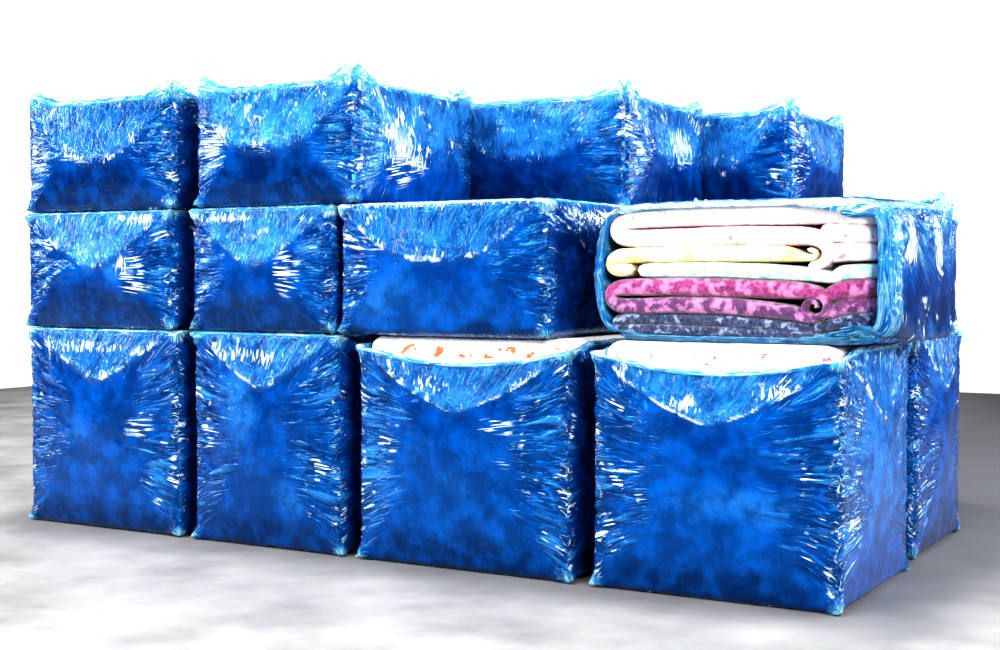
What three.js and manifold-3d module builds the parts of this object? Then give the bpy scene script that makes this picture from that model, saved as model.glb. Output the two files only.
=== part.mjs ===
// A block stack of blanket bales: folded blankets packed in tight plastic film bags and
// piled three rows deep and three tiers high, straight on the floor. The top tier steps
// back like a stair. One bale at the right end lies with its mouth to the front, so its
// five folded blankets show, and two bales in the bottom tier are open at the top.
// Millimetres, +Z up, the long front of the stack faces -Y, and the floor is Z = 0.

import * as THREE from 'three';
import { mergeVertices } from 'three/addons/utils/BufferGeometryUtils.js';
import Module from 'manifold-3d';

const wasm = await Module();
wasm.setup();

// Heights of the three tiers, and the gap that neighbouring pieces keep.
const GAP = 0.3;
const BOTTOM_TOP = 797;
const MIDDLE_TOP = 1263;
const TOP_TOP = 1707;

// How a filled bag takes its shape. Its seams are the straight edges between its corners,
// and its faces swell out past them.
const EDGE_CUT = 15;
const FREE_CROWN = 42;
const FREE_LID_CROWN = 26;
const EAR_REACH = 30;
const EAR_RISE = 38;

// The open bale: wall of its sleeve, and the five blankets in it from the bottom up.
const SLEEVE_WALL = 11;
const SLEEVE_TOP = 1236;
const SLEEVE_CORNER = 40;
const BLANKET_BACK_ROOM = 6;
const BLANKETS = [
  { thick: 58, left: 22, right: 20, front: 22, color: 0x8f93ad },
  { thick: 108, left: 6, right: 6, front: 8, color: 0xb0508f },
  { thick: 56, left: 12, right: 10, front: 20, color: 0xbfe8cf },
  { thick: 62, left: 6, right: 22, front: 12, color: 0xf4dc92 },
  { thick: 128, left: 12, right: 18, front: 6, color: 0xf3ece8 },
];

// The two bags that are open at the top: side walls, back wall and the sagging front lip.
const BAG_WALL = 18;
const LIP_CORNER = 776;
const LIP_MIDDLE = 722;

// Each row of a tier, from the left: the widths of its bales between their side seams and
// the gaps between them, which the swelling sides fill.
const ROWS = [
  { row: 'front', tier: 'bottom', left: 0, widths: [810, 690, 835, 810], gaps: [80, 80, 90],
    front: 0, depth: 765 },
  { row: 'front', tier: 'middle', left: 0, widths: [780, 660, 840], gaps: [105, 35],
    front: 0, depth: 790 },
  { row: 'front', tier: 'top', left: 8, widths: [780, 735], gaps: [122],
    front: 0, depth: 799 },
  { row: 'centre', tier: 'bottom', left: 0, widths: [805, 690, 845, 790], gaps: [80, 80, 80],
    front: 872, depth: 770 },
  { row: 'centre', tier: 'middle', left: 0, widths: [790, 680, 780, 750], gaps: [85, 80, 79],
    front: 905, depth: 735 },
  { row: 'centre', tier: 'top', left: 0, widths: [650, 650, 830], gaps: [77, 80],
    front: 872, depth: 770 },
  { row: 'back', tier: 'bottom', left: 0, widths: [735, 735, 735, 735], gaps: [75, 75, 75],
    front: 1715, depth: 755 },
  { row: 'back', tier: 'middle', left: 0, widths: [735, 735, 735, 735], gaps: [75, 75, 75],
    front: 1715, depth: 755 },
  { row: 'back', tier: 'top', left: 0, widths: [845, 825, 815], gaps: [85, 80],
    front: 1715, depth: 755 },
];
const OPEN_BALE = { left: 2630, width: 867, front: 0, depth: 867 };
const OPEN_BALE_BACK_GAP = 36;

// The rightmost bottom bale of the centre row stands further back than its neighbours.
const SET_BACK = { name: 'bottom_centre_bale_4', front: 966, depth: 676 };

const TIERS = {
  bottom: { base: 0, top: BOTTOM_TOP },
  middle: { base: BOTTOM_TOP + GAP, top: MIDDLE_TOP },
  top: { base: MIDDLE_TOP + GAP, top: TOP_TOP },
};

const film = () => new THREE.MeshStandardMaterial({ color: 0x0a5cc8, roughness: 0.25, metalness: 0 });
const fleece = (color) => new THREE.MeshStandardMaterial({ color, roughness: 0.95, metalness: 0 });

const stack = new THREE.Group();

function place(name, geometry, material) {
  const mesh = new THREE.Mesh(geometry, material);
  mesh.name = name;
  stack.add(mesh);
}

// A box grid whose lines sit close to the seams, bent into a swollen bag. The vertices on a
// seam are cut back to round it, the four vertices around a face's middle carry its full
// crown, and each corner vertex is drawn out into the gathered ear of film.
const LINES = [-1, -0.86, -0.34, 0.34, 0.86, 1];
const MIDDLE_CROWN = (1 - 0.34 ** 2) ** 2;

function bagGeometry(box, crowns, ears) {
  const cells = LINES.length - 1;
  const geometry = new THREE.BoxGeometry(2, 2, 2, cells, cells, cells);
  geometry.deleteAttribute('normal');
  geometry.deleteAttribute('uv');
  const merged = mergeVertices(geometry, 1e-4);
  const position = merged.attributes.position;
  const low = [box.left, box.front, box.base];
  const high = [box.left + box.width, box.front + box.depth, box.top];
  for (let i = 0; i < position.count; i += 1) {
    const unit = [0, 1, 2].map((axis) => {
      const line = Math.round(((position.getComponent(i, axis) + 1) / 2) * cells);
      return LINES[line];
    });
    const onSeam = unit.map((value) => Math.abs(value) === 1);
    const seams = onSeam.filter(Boolean).length;
    for (let axis = 0; axis < 3; axis += 1) {
      const others = [0, 1, 2].filter((other) => other !== axis);
      const side = Math.sign(unit[axis]);
      const middle = (low[axis] + high[axis]) / 2;
      let value = middle + (unit[axis] * (high[axis] - low[axis])) / 2;
      if (seams === 3) {
        value += side * ears[axis][side < 0 ? 0 : 1];
      } else if (onSeam[axis] && seams === 2) {
        value -= side * EDGE_CUT;
      } else if (onSeam[axis]) {
        const falloff = others.reduce((product, other) => product * (1 - unit[other] ** 2), 1);
        value += (side * crowns[axis][side < 0 ? 0 : 1] * falloff) / MIDDLE_CROWN;
      }
      position.setComponent(i, axis, value);
    }
  }
  return merged;
}

// Turning a closed geometry into a solid that can be cut, and back.
function solid(geometry) {
  const plain = geometry.clone();
  plain.deleteAttribute('normal');
  plain.deleteAttribute('uv');
  const merged = mergeVertices(plain, 1e-3);
  const mesh = new wasm.Mesh({
    numProp: 3,
    vertProperties: new Float32Array(merged.attributes.position.array),
    triVerts: new Uint32Array(merged.index.array),
  });
  return new wasm.Manifold(mesh);
}

function surface(manifold) {
  const mesh = manifold.getMesh();
  const geometry = new THREE.BufferGeometry();
  geometry.setAttribute('position', new THREE.BufferAttribute(mesh.vertProperties, 3));
  geometry.setIndex(new THREE.BufferAttribute(mesh.triVerts, 1));
  return geometry;
}

// An outline in the front plane drawn out towards the back.
function drawnBack(outline, front, depth) {
  const geometry = new THREE.ExtrudeGeometry(outline, { depth, bevelEnabled: false, curveSegments: 6 });
  geometry.rotateX(Math.PI / 2);
  geometry.translate(0, front + depth, 0);
  return geometry;
}

// A bag that is open at the top: its front lip sags between the corners, and the top
// blanket fills the mouth and rises to carry the bale above.
function lipOutline(box, inset, top) {
  const left = box.left + BAG_WALL + inset;
  const right = box.left + box.width - BAG_WALL - inset;
  const ends = LIP_CORNER + inset;
  const pull = 2 * LIP_MIDDLE - LIP_CORNER + inset;
  const outline = new THREE.Shape();
  outline.moveTo(left, ends);
  outline.quadraticCurveTo((left + right) / 2, pull, right, ends);
  outline.lineTo(right, top);
  outline.lineTo(left, top);
  outline.closePath();
  return outline;
}

function openBag(number, box, geometry) {
  const body = solid(geometry);
  const reach = 2 * box.depth;
  const back = box.front + box.depth - BAG_WALL;
  const mouth = solid(drawnBack(lipOutline(box, 0, 2 * BOTTOM_TOP), back - reach, reach));
  const filling = solid(drawnBack(lipOutline(box, GAP, 2 * BOTTOM_TOP), back - GAP - reach, reach));
  place(`bottom_front_bag_${number}`, surface(body.subtract(mouth)), film());
  place(`bottom_front_blanket_${number}`, surface(body.intersect(filling)), fleece(0xf3ece8));
}

// The room that a bale has on each side: the gap to its neighbour, or undefined where it
// has none.
const ROW_GAPS = {
  front: { bottom: [undefined, 107], middle: [undefined, 80], top: [undefined, 73] },
  centre: { bottom: [107, 73], middle: [40, 75], top: [73, 73] },
  back: { bottom: [73, undefined], middle: [75, undefined], top: [73, undefined] },
};

// A face swells until it meets its neighbour half way, or by its own free crown.
function crownInto(gap) {
  return gap === undefined ? FREE_CROWN : (gap - GAP) / 2;
}

// An ear reaches out sideways as far as its half of the gap lets it.
function earInto(gap) {
  return gap === undefined ? EAR_REACH : Math.min(EAR_REACH, gap / 2 - 3);
}

// On a bale with nothing on it the lid swells too and its ears stand up. At the foot of a
// bale the ears lie in its base plane.
function bagShape(box, sideGaps, rowGaps, free) {
  const crowns = [sideGaps.map(crownInto), rowGaps.map(crownInto), [0, free ? FREE_LID_CROWN : 0]];
  const ears = [sideGaps.map(earInto), rowGaps.map(earInto), [0, free ? EAR_RISE : 0]];
  return bagGeometry(box, crowns, ears);
}

// The rows of closed bales, and the two open bags among them.
const FREE_LID = 'middle_centre_bale_4';

for (const entry of ROWS) {
  let left = entry.left;
  entry.widths.forEach((width, index) => {
    const name = `${entry.tier}_${entry.row}_bale_${index + 1}`;
    const free = entry.tier === 'top' || name === FREE_LID;
    const { front, depth } = name === SET_BACK.name ? SET_BACK : entry;
    const box = { left, width, front, depth, ...TIERS[entry.tier] };
    const sideGaps = [entry.gaps[index - 1], entry.gaps[index]];
    const geometry = bagShape(box, sideGaps, ROW_GAPS[entry.row][entry.tier], free);
    if (entry.tier === 'bottom' && entry.row === 'front' && index >= 2) {
      openBag(index + 1, box, geometry);
    } else {
      place(name, geometry, film());
    }
    left += width + (entry.gaps[index] ?? 0);
  });
}

// The bale that lies open to the front. Its sleeve is a bag with its inside cut out from
// the front, and the folded blankets fill it as a pile of thick rounded slabs.
function openBale() {
  const box = { ...OPEN_BALE, base: BOTTOM_TOP + GAP, top: SLEEVE_TOP };
  const outside = solid(bagShape(box, [undefined, undefined], [undefined, OPEN_BALE_BACK_GAP], true));
  const left = box.left + SLEEVE_WALL;
  const right = box.left + box.width - SLEEVE_WALL;
  const floor = box.base + SLEEVE_WALL;
  const back = box.front + box.depth - SLEEVE_WALL;
  const mouth = roundedOutline(left, right, floor, box.top - SLEEVE_WALL, SLEEVE_CORNER);
  const inside = solid(drawnBack(mouth, back - 2 * box.depth, 2 * box.depth));
  place('open_bale_sleeve', surface(outside.subtract(inside)), film());

  let base = floor + GAP;
  BLANKETS.forEach((blanket, index) => {
    const top = base + blanket.thick;
    const from = left + blanket.left;
    const to = right - blanket.right;
    const folded = roundedOutline(from, to, base, top, blanket.thick / 2);
    const pile = drawnBack(folded, blanket.front, back - BLANKET_BACK_ROOM - blanket.front);
    place(`open_bale_blanket_${index + 1}`, pile, fleece(blanket.color));
    base = top + GAP;
  });
}

// A rectangle with round corners. With a radius of half its height it is a folded blanket
// seen at its folds: flat above and below, round where it turns back.
function roundedOutline(left, right, base, top, radius) {
  const outline = new THREE.Shape();
  const quarter = Math.PI / 2;
  outline.moveTo(left + radius, base);
  outline.absarc(right - radius, base + radius, radius, -quarter, 0, false);
  outline.absarc(right - radius, top - radius, radius, 0, quarter, false);
  outline.absarc(left + radius, top - radius, radius, quarter, 2 * quarter, false);
  outline.absarc(left + radius, base + radius, radius, 2 * quarter, 3 * quarter, false);
  return outline;
}

openBale();

// The origin is at the middle of the stack's footprint, on the floor.
const reach = new THREE.Box3().setFromObject(stack);
stack.position.set(-(reach.min.x + reach.max.x) / 2, -(reach.min.y + reach.max.y) / 2, 0);
stack.updateMatrixWorld(true);

export default stack;
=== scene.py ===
import math

import bmesh
import bpy
import numpy as np
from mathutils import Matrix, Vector


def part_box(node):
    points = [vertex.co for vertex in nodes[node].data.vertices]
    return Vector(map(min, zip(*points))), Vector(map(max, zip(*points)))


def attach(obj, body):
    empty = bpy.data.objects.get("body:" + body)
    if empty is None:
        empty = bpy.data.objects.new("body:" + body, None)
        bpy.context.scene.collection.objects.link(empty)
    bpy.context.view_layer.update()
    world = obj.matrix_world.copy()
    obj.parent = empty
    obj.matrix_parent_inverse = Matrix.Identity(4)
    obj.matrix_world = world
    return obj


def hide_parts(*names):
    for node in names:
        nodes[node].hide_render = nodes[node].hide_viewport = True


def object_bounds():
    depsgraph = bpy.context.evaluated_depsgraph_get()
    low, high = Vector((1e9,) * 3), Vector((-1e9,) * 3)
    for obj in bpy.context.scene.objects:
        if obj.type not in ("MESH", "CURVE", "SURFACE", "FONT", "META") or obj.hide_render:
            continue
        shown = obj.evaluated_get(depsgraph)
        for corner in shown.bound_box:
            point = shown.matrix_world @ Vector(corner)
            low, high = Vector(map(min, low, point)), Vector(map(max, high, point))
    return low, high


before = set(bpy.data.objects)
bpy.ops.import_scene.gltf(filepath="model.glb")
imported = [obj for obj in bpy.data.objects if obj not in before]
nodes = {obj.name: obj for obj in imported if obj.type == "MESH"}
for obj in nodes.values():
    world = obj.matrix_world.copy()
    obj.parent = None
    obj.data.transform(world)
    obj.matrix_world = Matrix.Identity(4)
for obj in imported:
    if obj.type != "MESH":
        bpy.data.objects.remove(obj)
cad_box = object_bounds()


# Camera, a metre over the floor and a few steps off the stack's right end. Its place, tilt
# and lens come from the vanishing points of the long front, the right side and the floor.
EYE = (2.908, -5.403, 1.0)
TURN = math.radians(30.13)
TILT = math.radians(1.88)
LENS_MM = 52.07

camera_data = bpy.data.cameras.new("camera")
camera_data.lens = LENS_MM
camera = bpy.data.objects.new("camera", camera_data)
camera.location = EYE
camera.rotation_euler = (math.pi / 2 - TILT, 0, TURN)
bpy.context.collection.objects.link(camera)
bpy.context.scene.camera = camera
picture = bpy.context.scene.view_settings
picture.view_transform = "Standard"
picture.look = "Medium High Contrast"


# Floor: a pale slab of screed, ground smooth, that the bales stand on. It is painted darker far
# off at the back right, a painted shade, and darker in a band close round the stack. That band
# is painted too, because the soft lamps alone leave too little shade there.
FLOOR_SIZE = 15.0
FLOOR_GREY = "#807f7e"
FLOOR_PALE = "#a8a6a3"
FLOOR_CLOUD_MM = 400
FLOOR_CLOUD_RANGE = (0.32, 0.66)
FLOOR_ROUGHNESS = 0.55
# The floor far off at the back right is painted darker: a painted shade.
FAR_SHADE_GREY = "#585a5e"
FAR_SHADE_BEHIND = (-2.2, 1.5)
FAR_SHADE_RIGHT = (-1.5, 0.8)
SHADE_GREY = "#4a4a4e"
SHADE_SHARE = 0.62
SHADE_WIDTH = 0.34
SHADE_INSET = 0.02


def linear(hex_colour):
    """An sRGB hex colour as the linear values that a shader takes."""
    channels = [int(hex_colour[i:i + 2], 16) / 255 for i in (1, 3, 5)]
    return [c / 12.92 if c <= 0.04045 else ((c + 0.055) / 1.055) ** 2.4 for c in channels] + [1.0]


def add_node(tree, kind, inputs=(), **settings):
    """A shader node with its settings. Its inputs are given by name, or in the node's own
    order, and each is a value, a socket, or a node, whose first live output is then used."""
    node = tree.nodes.new(f"ShaderNode{kind}")
    for key, value in settings.items():
        setattr(node, key, value)
    given = inputs if isinstance(inputs, dict) else dict(enumerate(inputs))
    for key, source in given.items():
        if isinstance(source, bpy.types.Node):
            source = next(output for output in source.outputs if output.enabled)
        if isinstance(source, bpy.types.NodeSocket):
            tree.links.new(source, node.inputs[key])
        else:
            node.inputs[key].default_value = source
    return node


def painted(tree, ground, layers):
    """The ground colour with each layer's colour laid over it, by the product of its shares."""
    colour = linear(ground)
    for layer_colour, share, *others in layers:
        for other in others:
            share = add_node(tree, "Math", [share, other], operation="MULTIPLY")
        colour = add_node(tree, "Mix", {"Factor": share, "A": colour, "B": linear(layer_colour)},
                          data_type="RGBA")
    return colour.outputs["Result"]


def new_material(name, finish):
    """A node material with the finish set on its surface shader, and its tree and shader."""
    material = bpy.data.materials.new(name)
    material.use_nodes = True
    tree = material.node_tree
    shader = tree.nodes["Principled BSDF"]
    for socket, value in finish.items():
        shader.inputs[socket].default_value = value
    return material, tree, shader


def floor_material():
    """Screed, ground and sealed: nearly matt, in soft clouds of two greys."""
    material, tree, shader = new_material("polished_screed", {"Roughness": FLOOR_ROUGHNESS})
    place = add_node(tree, "TexCoord").outputs["Object"]
    clouds = add_node(tree, "TexNoise", {"Vector": place, "Scale": 1000 / FLOOR_CLOUD_MM,
                                         "Detail": 7.0, "Roughness": 0.6})
    pale = add_node(tree, "MapRange", [clouds, *FLOOR_CLOUD_RANGE])
    spot = add_node(tree, "SeparateXYZ", [place]).outputs
    behind = add_node(tree, "MapRange", [spot["Y"], *FAR_SHADE_BEHIND])
    right = add_node(tree, "MapRange", [spot["X"], *FAR_SHADE_RIGHT])
    footprint = (cad_box[1][0] - SHADE_INSET, cad_box[1][1] - SHADE_INSET, 1)
    away = add_node(tree, "VectorMath", [place], operation="ABSOLUTE")
    away = add_node(tree, "VectorMath", [away, footprint], operation="SUBTRACT")
    away = add_node(tree, "VectorMath", [away, (0, 0, 0)], operation="MAXIMUM")
    away = add_node(tree, "VectorMath", [away], operation="LENGTH")
    shaded = add_node(tree, "MapRange", [away, 0.0, SHADE_WIDTH, SHADE_SHARE, 0.0],
                      interpolation_type="SMOOTHSTEP")
    layers = [(FLOOR_PALE, pale), (FAR_SHADE_GREY, behind, right), (SHADE_GREY, shaded)]
    tree.links.new(painted(tree, FLOOR_GREY, layers), shader.inputs["Base Color"])
    return material


floor_mesh = bpy.data.meshes.new("floor")
bm = bmesh.new()
bmesh.ops.create_grid(bm, x_segments=1, y_segments=1, size=FLOOR_SIZE / 2)
bm.to_mesh(floor_mesh)
bm.free()
floor = bpy.data.objects.new("floor", floor_mesh)
bpy.context.collection.objects.link(floor)
floor_mesh.materials.append(floor_material())


# Studio light: a broad soft box high over the front, others at the sides, over the top and
# behind, and a few thin strips, which draw white streaks on the film.
WORLD_FILL = 0.10
BACKDROP_WHITE = 0.97
STRIP_LENGTH, STRIP_WIDTH, STRIP_POWER = 2.8, 0.13, 78
STRIP = (STRIP_LENGTH, STRIP_WIDTH, STRIP_POWER)
LAMPS = [
    # place, aimed at, length, width, power
    ((-2.6, -4.9, 5.2), (0.0, -1.2, 0.9), 5.0, 1.7, 700),
    ((6.0, 2.2, 2.4), (1.7, -0.4, 1.0), 3.8, 1.8, 560),
    ((-5.8, -2.6, 2.4), (-0.8, -1.2, 1.0), 2.0, 1.6, 110),
    ((1.8, -1.6, 5.4), (0.7, -1.2, 1.2), 4.5, 1.2, 230),
    ((5.0, -4.4, 2.6), (1.5, -1.0, 0.8), 2.0, 1.4, 330),
    ((-0.4, 2.6, 5.2), (0.0, 0.2, 1.5), 4.0, 1.6, 150),
    ((-4.8, 5.6, 3.4), (-0.8, 0.8, 0.9), 2.8, 1.6, 260),
    ((-6.8, -5.6, 2.3), (-0.6, -1.2, 1.2), *STRIP),
    ((-4.9, -7.2, 3.0), (-0.6, -1.2, 1.2), *STRIP),
    ((-1.6, -7.6, 2.5), (-0.3, -1.2, 1.0), *STRIP),
    ((4.6, 5.2, 2.6), (1.7, -0.4, 1.0), *STRIP),
]
for number, (at, target, length, width, power) in enumerate(LAMPS):
    lamp_data = bpy.data.lights.new(f"lamp_{number}", "AREA")
    lamp_data.shape = "RECTANGLE"
    lamp_data.size = length
    lamp_data.size_y = width
    lamp_data.energy = power
    lamp = bpy.data.objects.new(f"lamp_{number}", lamp_data)
    lamp.location = at
    lamp.rotation_euler = (Vector(target) - Vector(at)).to_track_quat("-Z", "Y").to_euler()
    bpy.context.collection.objects.link(lamp)

world = bpy.data.worlds.new("studio")
world.use_nodes = True
sky = world.node_tree
backdrop = sky.nodes["Background"]
seen_directly = add_node(sky, "LightPath").outputs["Is Camera Ray"]
strength = add_node(sky, "MapRange", {"Value": seen_directly, "To Min": WORLD_FILL,
                                      "To Max": BACKDROP_WHITE})
backdrop.inputs["Color"].default_value = (1, 1, 1, 1)
sky.links.new(strength.outputs["Result"], backdrop.inputs["Strength"])
bpy.context.scene.world = world


# Closed bales: bags of thin blue polyethylene film, pulled tight round blocks of folded
# blankets. Each face swells like a hipped roof, the film gathers in creases along its seams,
# a flap of it folds down over the face, and its spare corners stick out as crumpled ears.
SEAM_CUT = 0.015
SEAM_ROUND = 0.026
WAIST_SHARES = (0.25, 0.6)
LINE_CROWDING = 0.6
CLEAR_OF_NEIGHBOUR = 0.003
CLEAR_OF_BEARER = 0.0005
FACE_AXES = {0: (2, 1), 1: (2, 0), 2: (1, 0)}

CROWN_ROUNDNESS = 0.55
CROWN_POWER = 2.2
CROWN_LOSS = 0.10
UNEVEN_HEIGHT = 0.0045
WAVER = 0.030
WAVER_SIZE = 0.14

GATHER_SPACING = 0.046
GATHER_LENGTH = 0.17
UPRIGHT_GATHER, UPRIGHT_REACH = 0.0075, 0.30
LEVEL_GATHER, LEVEL_REACH = 0.0055, 0.19
LOW_EDGE_GATHER = 0.2
LONG_CREASE_GROUPS = 4
LONG_CREASE_WIDTH = 0.010
CORNER_FAN_HEIGHT = 0.0045
BROW_RUCK_HEIGHT = 0.0055
BROW_LINE_DROP = 0.048

FLAP_LAP = 0.0030
FLAP_FOLD = 0.0050
FLAP_RUCK = 0.003
MOTTLE_PALE = 0.55
FACE_TONE = -0.25

LID_EAR = 0.038
LID_CROWN = 0.026
LID_RIM = 0.034
LOADED_RIM = 0.016
EAR_ABOVE = 0.020
EAR_PEAK_IN = 0.038
EAR_FIN_LENGTH = 0.135
EAR_FIN_WIDTH = 0.060
EAR_FIN_DEPTH = 0.06
CORNER_REACH = 0.065
CORNER_DRAW = 0.020
EAR_CRUMPLE = 0.009


def smooth(low, high, x):
    """0 up to low, 1 from high on, and a ramp with soft ends between them."""
    t = np.clip((x - low) / (high - low), 0, 1)
    return t * t * (3 - 2 * t)


def gradient_noise(x, y, seed):
    """Smooth noise in the plane from about -0.7 to 0.7, the same for the same seed."""
    angle = np.random.default_rng(seed).random((64, 64)) * 2 * math.pi
    x0, y0 = np.floor(x), np.floor(y)
    fx, fy = x - x0, y - y0
    total = np.zeros_like(x)
    for dx in (0, 1):
        for dy in (0, 1):
            turn = angle[(x0 + dx).astype(int) % 64, (y0 + dy).astype(int) % 64]
            slope = np.cos(turn) * (fx - dx) + np.sin(turn) * (fy - dy)
            wx = fx if dx else 1 - fx
            wy = fy if dy else 1 - fy
            total += slope * wx * wx * (3 - 2 * wx) * wy * wy * (3 - 2 * wy)
    return total


def ridges(x, y, seed, top=0.4, fall=1.8):
    """Sharp crests along the lines where the noise is zero, with round hollows between them."""
    return top - fall * np.abs(gradient_noise(x, y, seed))


def coordinates(mesh):
    """The points of a mesh, as rows of x, y and z."""
    points = np.empty(len(mesh.vertices) * 3, np.float32)
    mesh.vertices.foreach_get("co", points)
    return points.reshape(-1, 3).astype(float)


def seam_box(node):
    """The box of a bag's straight seams, and the whole box of its CAD solid. At mid height its
    upright seams are the outermost points along each diagonal, cut back by a fixed amount."""
    low, high = (np.array(corner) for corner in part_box(node))
    points = coordinates(nodes[node].data)
    share = (points[:, 2] - low[2]) / (high[2] - low[2])
    waist = points[(share > WAIST_SHARES[0]) & (share < WAIST_SHARES[1])]
    near_left = waist[np.argmin(waist[:, 0] + waist[:, 1])]
    far_right = waist[np.argmax(waist[:, 0] + waist[:, 1])]
    seams_low = np.array([near_left[0] - SEAM_CUT, near_left[1] - SEAM_CUT, low[2]])
    seams_high = np.array([far_right[0] + SEAM_CUT, far_right[1] + SEAM_CUT, high[2]])
    return seams_low, seams_high, low, high


def cube_grid(name, size, spacing):
    """A closed box of four-sided cells: a cube whose edges are cut along each axis in turn.
    Also gives its points, from -1 to 1."""
    bm = bmesh.new()
    bmesh.ops.create_cube(bm, size=2)
    for axis in range(3):
        parallel = [e for e in bm.edges if abs((e.verts[0].co - e.verts[1].co)[axis]) > 0.5]
        cuts = max(2, round(size[axis] / spacing[axis]) - 1)
        bmesh.ops.subdivide_edges(bm, edges=parallel, cuts=cuts, use_grid_fill=True)
    mesh = bpy.data.meshes.new(name)
    bm.to_mesh(mesh)
    bm.free()
    return mesh, coordinates(mesh)


def crowded(unit):
    """The points of a grid, moved so that its lines lie closer together towards its edges."""
    return np.sin(unit * LINE_CROWDING * math.pi / 2) / math.sin(LINE_CROWDING * math.pi / 2)


def rounded_box(square, low, high, radius):
    """The points of a box, with those near an edge moved onto an arc round it, and the way
    that each of them faces."""
    inner = np.clip(square, low + radius, high - radius)
    out = square - inner
    outward = out / np.maximum(np.linalg.norm(out, axis=1, keepdims=True), 1e-9)
    return inner + outward * radius, outward


def soft_least(a, b, width):
    """The smaller of two distances, with the fold between them softened over the width."""
    blend = np.clip(0.5 + (b - a) / (2 * width), 0, 1)
    return b + (a - b) * blend - width * blend * (1 - blend)


def seam_distances(p, half, normal_axis):
    """The two axes that cross a face, how far its points are from the seams across each, and
    half the face's shorter side."""
    axes = FACE_AXES[normal_axis]
    distance = {axis: (1 - np.abs(p[:, axis])) * half[axis] for axis in axes}
    return axes, distance, min(half[axis] for axis in axes)


class Face:
    """One face of a bag. Its points are given from -1 to 1 (p, and of that aside and up), in
    metres from its middle (flat), and in metres from the seams across its axes (distance)."""

    def __init__(self, unit, half, normal_axis, side, seed):
        self.half, self.side, self.normal_axis, self.across = half, side, normal_axis, 1 - normal_axis
        self.on = np.abs(unit[:, normal_axis] - side) < 1e-6
        self.p = unit[self.on]
        self.aside, self.up = self.p[:, self.across], self.p[:, 2]
        self.axes, self.distance, self.run = seam_distances(self.p, half, normal_axis)
        self.flat = [self.p[:, axis] * half[axis] for axis in self.axes]
        self.least = soft_least(*self.distance.values(), 0.02 + 0.12 * self.run)
        self.waver = WAVER * gradient_noise(self.flat[0] / WAVER_SIZE, self.flat[1] / WAVER_SIZE,
                                            seed + 71 + normal_axis)


def face_crown(face, room, seed, random):
    """How far a face swells: it rises from its seams like a hipped roof with a rounded ridge,
    and is a little uneven."""
    inset = smooth(0.0, 0.10, face.least)
    rise = np.clip((face.least + face.waver * inset) / face.run, 0, 1)
    rise = (1 - CROWN_ROUNDNESS) * rise + CROWN_ROUNDNESS * (1 - (1 - rise) ** CROWN_POWER)
    crown = (room - CLEAR_OF_NEIGHBOUR) * rise * (1 - CROWN_LOSS * random.random())
    lumps = gradient_noise(face.flat[0] / 0.17, face.flat[1] / 0.23,
                           seed + 81 + 2 * face.normal_axis + face.side)
    return np.maximum(crown + UNEVEN_HEIGHT * lumps * inset, 0)


def seam_gathers(face, seed):
    """Creases of gathered film that run straight away from the seams: crests and hollows that
    come in clusters, deepest at the upright seams and faint at the foot."""
    total = np.zeros(len(face.p))
    for along, across in (face.axes, face.axes[::-1]):
        near, far = face.distance[across], face.distance[along]
        height, reach = (UPRIGHT_GATHER, UPRIGHT_REACH) if along == 2 else (LEVEL_GATHER, LEVEL_REACH)
        reach *= min(1.0, face.run / 0.33)
        if across == 2:
            height = np.where(face.up < 0, LOW_EDGE_GATHER * height, height)
        shown = smooth(-0.05, 0.05, far - near) * (1 - smooth(0.2 * reach, reach, near))
        fan = face.p[:, along] * face.half[along] * (1 + 0.5 * near / reach)
        fan += 1.7 * np.sign(face.p[:, across])
        edge_seed = seed + 40 * along + 7 * (face.side > 0)
        drift = 1.2 * gradient_noise(fan / 0.23, near / 0.16, edge_seed + 1)
        ribs = ridges(fan / GATHER_SPACING + drift, near / GATHER_LENGTH, edge_seed, 0.42, 1.9)
        cluster = smooth(-0.35, 0.25, gradient_noise(fan / 0.13, near / 0.3, edge_seed + 3))
        total += height * shown * ribs * (0.35 + 0.9 * cluster)
    return total


def long_creases(face, random):
    """Tension creases, in groups of two or three, from the upright seams inwards."""
    wide, tall = face.half[face.across], face.half[2]
    flat = np.stack([face.aside * wide, face.up * tall], 1)
    total = np.zeros(len(flat))
    for _ in range(LONG_CREASE_GROUPS):
        end = random.choice([-1, 1])
        at = np.array([end * wide * random.uniform(0.45, 0.8), tall * random.uniform(-0.35, 0.45)])
        slope = -end * random.uniform(-0.1, 0.5)
        for strand in range(random.integers(2, 4)):
            step = np.array([-end, slope * -end]) * random.uniform(0.06, 0.13)
            start = at + np.array([random.uniform(-0.02, 0.02), 0.034 * strand])
            length = np.linalg.norm(step)
            share = np.clip(((flat - start) @ step) / length ** 2, 0, 1)
            gap = np.linalg.norm(flat - start - share[:, None] * step, axis=1)
            height = random.uniform(0.003, 0.0055)
            total += height * np.exp(-(gap / LONG_CREASE_WIDTH) ** 2) * np.sin(math.pi * share)
    return total


def corner_fans(face, seed):
    """Creases that spread from each top corner over the face, where the ear pulls on it."""
    total = np.zeros(len(face.p))
    for end in (-1, 1):
        beside = (1 - end * face.aside) * face.half[face.across]
        below = (1 - face.up) * face.half[2]
        reach = np.hypot(beside, below)
        ribs = ridges(np.arctan2(below, beside) / 0.15 + 3 * end, reach / 0.3, seed)
        total += CORNER_FAN_HEIGHT * ribs * smooth(0.04, 0.09, reach) * (1 - smooth(0.12, 0.30, reach))
    return total


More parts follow.
